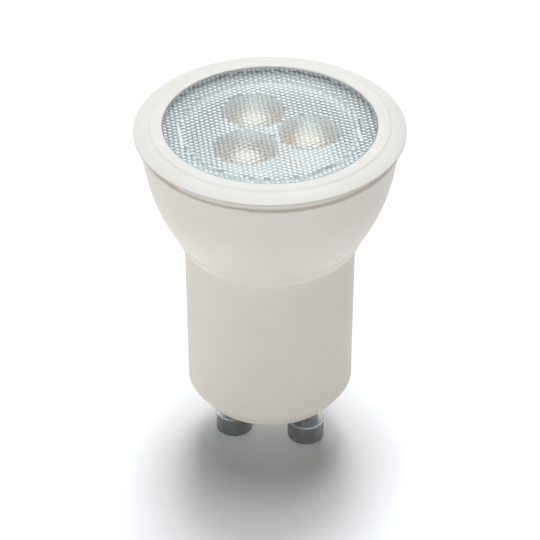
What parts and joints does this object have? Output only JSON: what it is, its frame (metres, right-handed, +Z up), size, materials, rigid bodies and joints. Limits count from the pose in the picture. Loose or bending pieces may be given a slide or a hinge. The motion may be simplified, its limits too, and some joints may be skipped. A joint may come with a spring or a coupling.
{
  "type": "gu10 spotlight bulb",
  "caption": "Small LED spotlight bulb with a domed bezel, a beaded clear lens over three emitters, a white bowl on a straight barrel, and twist-lock contact pins.",
  "frame": {"origin": "on the bulb's axis, at the bottom of the two contact pins", "axes": "+Z up along the axis to the light's face, X through both pins"},
  "size_m": [0.035, 0.035, 0.0505],
  "materials": {
    "bezel": "satin moulded",
    "shell": "fine satin moulded",
    "barrel": "fine satin moulded",
    "lens": "clear moulded, beaded front",
    "pin": "nickel plated, turned",
    "heat_sink": "pressed, dull",
    "insulator": "sheet",
    "thermal_pad": "soft pad",
    "led_board": "lacquered board",
    "screw": "zinc plated",
    "led_body": "moulded",
    "phosphor": "cast silicone",
    "driver_board": "lacquered laminate",
    "capacitor": "sleeved can",
    "film_capacitor": "dipped box",
    "chip": "moulded",
    "ferrite": "sintered",
    "copper": "enamelled wire",
    "fuse_body": "lacquered",
    "wire_white": "insulated lead",
    "wire_red": "insulated lead",
    "wire_black": "insulated lead"
  },
  "bodies": {
    "root": {"front_bezel": "bezel", "lens_plate": "lens", "bowl_shell": "shell", "base_barrel": "barrel", "contact_pin_left": "pin", "contact_pin_right": "pin", "heat_sink_cup": "heat_sink", "insulating_disc": "insulator", "thermal_pad": "thermal_pad", "led_board": "led_board", "led_board_screws": "screw", "led_1": "led_body", "led_2": "led_body", "led_3": "led_body", "led_1_phosphor": "phosphor", "led_2_phosphor": "phosphor", "led_3_phosphor": "phosphor", "driver_board": "driver_board", "smoothing_capacitor": "capacitor", "film_capacitor": "film_capacitor", "bridge_rectifier": "chip", "driver_chip": "chip", "flyback_diode": "chip", "choke_core": "ferrite", "choke_winding": "copper", "fuse_resistor": "fuse_body", "pin_wire_left": "wire_white", "pin_wire_right": "wire_white", "led_wire_plus": "wire_red", "led_wire_minus": "wire_black"}
  },
  "joints": []
}
